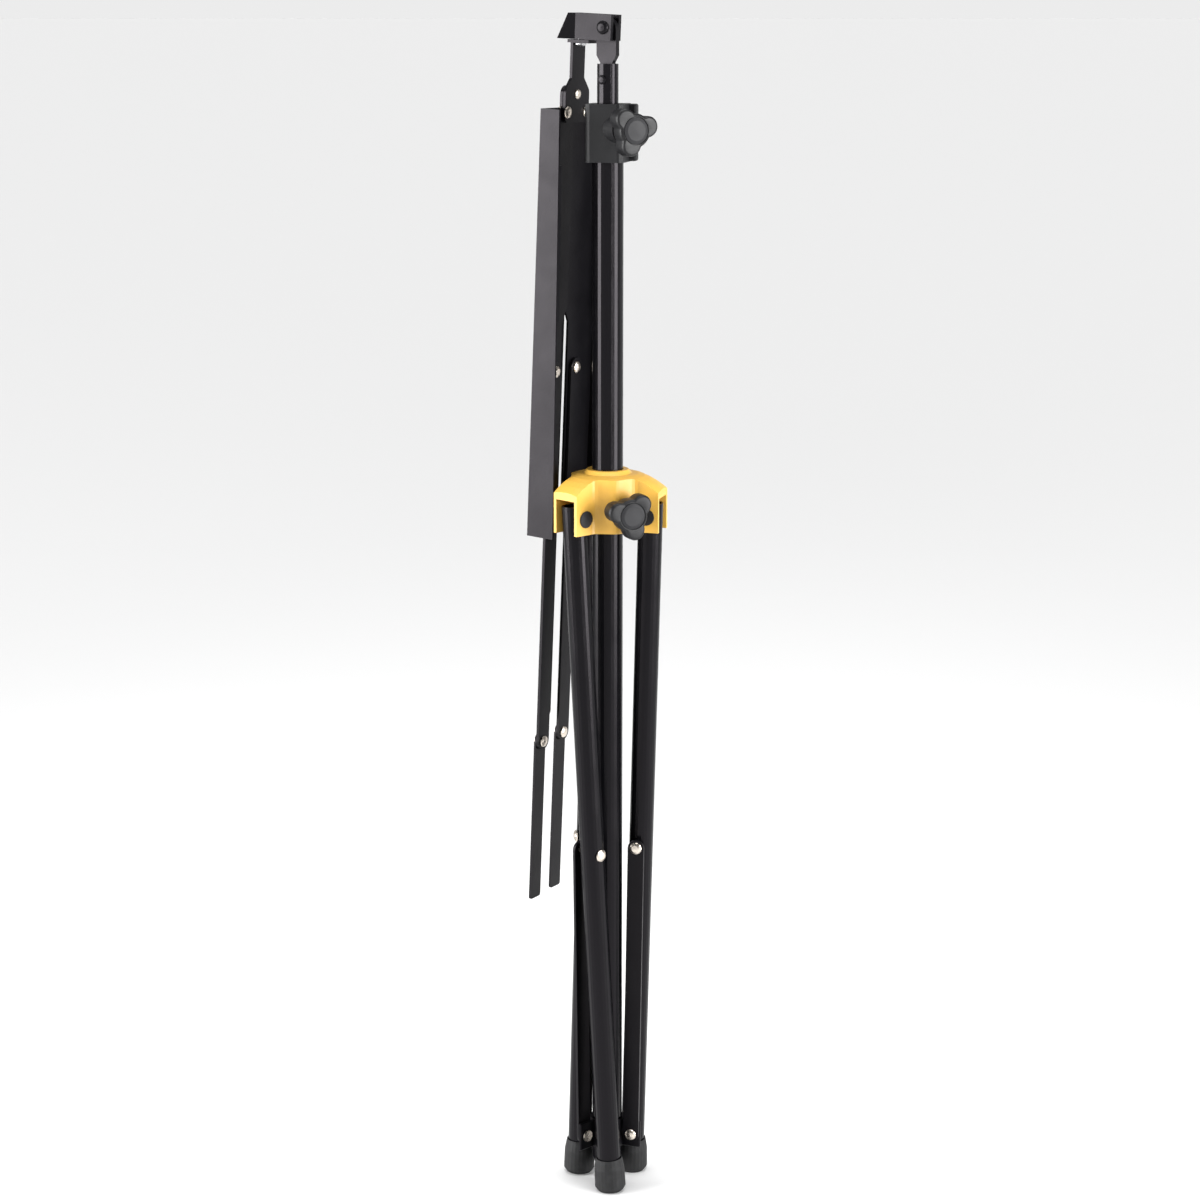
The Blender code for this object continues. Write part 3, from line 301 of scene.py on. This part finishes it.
def make_knob(name, azimuth, height, start, twist):
    """A fine-meshed knob that stands for the CAD one, with rounded lobes and a seat round its cap."""
    shape = bmesh.new()
    rings = []
    for share, fixed, z in knob_section():
        ring = []
        for k in range(KNOB_STEPS):
            angle = k * math.tau / KNOB_STEPS
            radius = share * knob_radius(angle) + fixed
            ring.append(shape.verts.new((radius * math.cos(angle), radius * math.sin(angle), z)))
        rings.append(ring)
    for upper, lower in zip(rings, rings[1:] + rings[:1]):
        for k in range(KNOB_STEPS):
            shape.faces.new((upper[k], upper[k - 1], lower[k - 1], lower[k]))
    bmesh.ops.recalc_face_normals(shape, faces=shape.faces)
    mesh = bpy.data.meshes.new(name + "_fine")
    shape.to_mesh(mesh)
    shape.free()
    place = (Matrix.Translation((MAST_X, MAST_Y, height)) @ Matrix.Rotation(azimuth, 4, "Z")
             @ Matrix.Rotation(math.pi / 2, 4, "Y") @ Matrix.Translation((0, 0, start))
             @ Matrix.Rotation(twist, 4, "Z"))
    mesh.transform(place)
    mesh.shade_smooth()
    mesh.set_sharp_from_angle(angle=math.radians(50))
    mesh.materials.append(BLACK_PLASTIC)
    knob = bpy.data.objects.new(name + "_fine", mesh)
    bpy.context.scene.collection.objects.link(knob)
    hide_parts(name)
    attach(knob, name)


make_knob("collar_knob", COLLAR_KNOB_AZIMUTH, COLLAR_KNOB_Z, COLLAR_KNOB_START, COLLAR_KNOB_TWIST)
make_knob("hub_knob", HUB_KNOB_AZIMUTH, HUB_KNOB_Z, HUB_KNOB_START, HUB_KNOB_TWIST)


# ---------------------------------------------------------------- stage, light and camera
def add_floor():
    mesh = bpy.data.meshes.new("floor")
    corners = [(x * FLOOR_REACH, y * FLOOR_REACH, 0) for x, y in ((-1, -1), (1, -1), (1, 1), (-1, 1))]
    mesh.from_pydata(corners, [], [(0, 1, 2, 3)])
    floor = bpy.data.objects.new("floor", mesh)
    bpy.context.scene.collection.objects.link(floor)
    mesh.materials.append(start_material("floor_paint", FLOOR, 0.8)[0])


def add_softbox(name, place, width, power):
    """A tall soft light to one side, turned to the middle of the stand."""
    data = bpy.data.lights.new(name, "AREA")
    data.shape = "RECTANGLE"
    data.size = width
    data.size_y = SOFTBOX_HEIGHT
    data.energy = power
    data.spread = SOFTBOX_SPREAD
    light = bpy.data.objects.new(name, data)
    light.location = place
    light.rotation_euler = (SOFTBOX_TARGET - place).to_track_quat("-Z", "Y").to_euler()
    bpy.context.scene.collection.objects.link(light)


def add_overhead():
    """A very soft light from almost straight above, which keeps the floor pale."""
    data = bpy.data.lights.new("overhead", "SUN")
    data.energy = OVERHEAD_LIGHT
    data.angle = OVERHEAD_SIZE
    light = bpy.data.objects.new("overhead", data)
    light.rotation_euler = (OVERHEAD_TILT, 0.0, 0.0)
    bpy.context.scene.collection.objects.link(light)


def add_world():
    """Even light from all round, which is also what shows past the floor's edge."""
    world = bpy.data.worlds.new("studio")
    world.use_nodes = True
    tree = world.node_tree
    background = tree.nodes["Background"]
    background.inputs["Color"].default_value = (1.0, 1.0, 1.0, 1.0)
    # a pale backdrop all round just above the floor's horizon, which fades into dim walls
    direction = tree.nodes.new("ShaderNodeSeparateXYZ")
    tree.links.new(tree.nodes.new("ShaderNodeTexCoord").outputs["Generated"], direction.inputs["Vector"])
    light = spread(tree, direction.outputs["Z"], BACKDROP_LIGHT, WALL_LIGHT, BACKDROP_TOP, WALL_START)
    tree.links.new(light, background.inputs["Strength"])
    bpy.context.scene.world = world


def add_camera():
    """Stands in front of the mast, level with the stand's top, and looks a little down."""
    data = bpy.data.cameras.new("camera")
    data.sensor_width = SENSOR_WIDTH
    data.lens = CAMERA_LENS
    camera = bpy.data.objects.new("camera", data)
    camera.location = (MAST_X + CAMERA_SIDE, MAST_Y - CAMERA_DISTANCE, CAMERA_HEIGHT)
    camera.rotation_euler = (math.pi / 2 - CAMERA_PITCH, 0.0, 0.0)
    bpy.context.scene.collection.objects.link(camera)
    bpy.context.scene.camera = camera


add_floor()
add_world()
add_camera()
add_overhead()
for box_name, (box_place, box_width, box_power) in SOFTBOXES.items():
    add_softbox(box_name, box_place, box_width, box_power)
bpy.context.scene.view_settings.view_transform = "Standard"
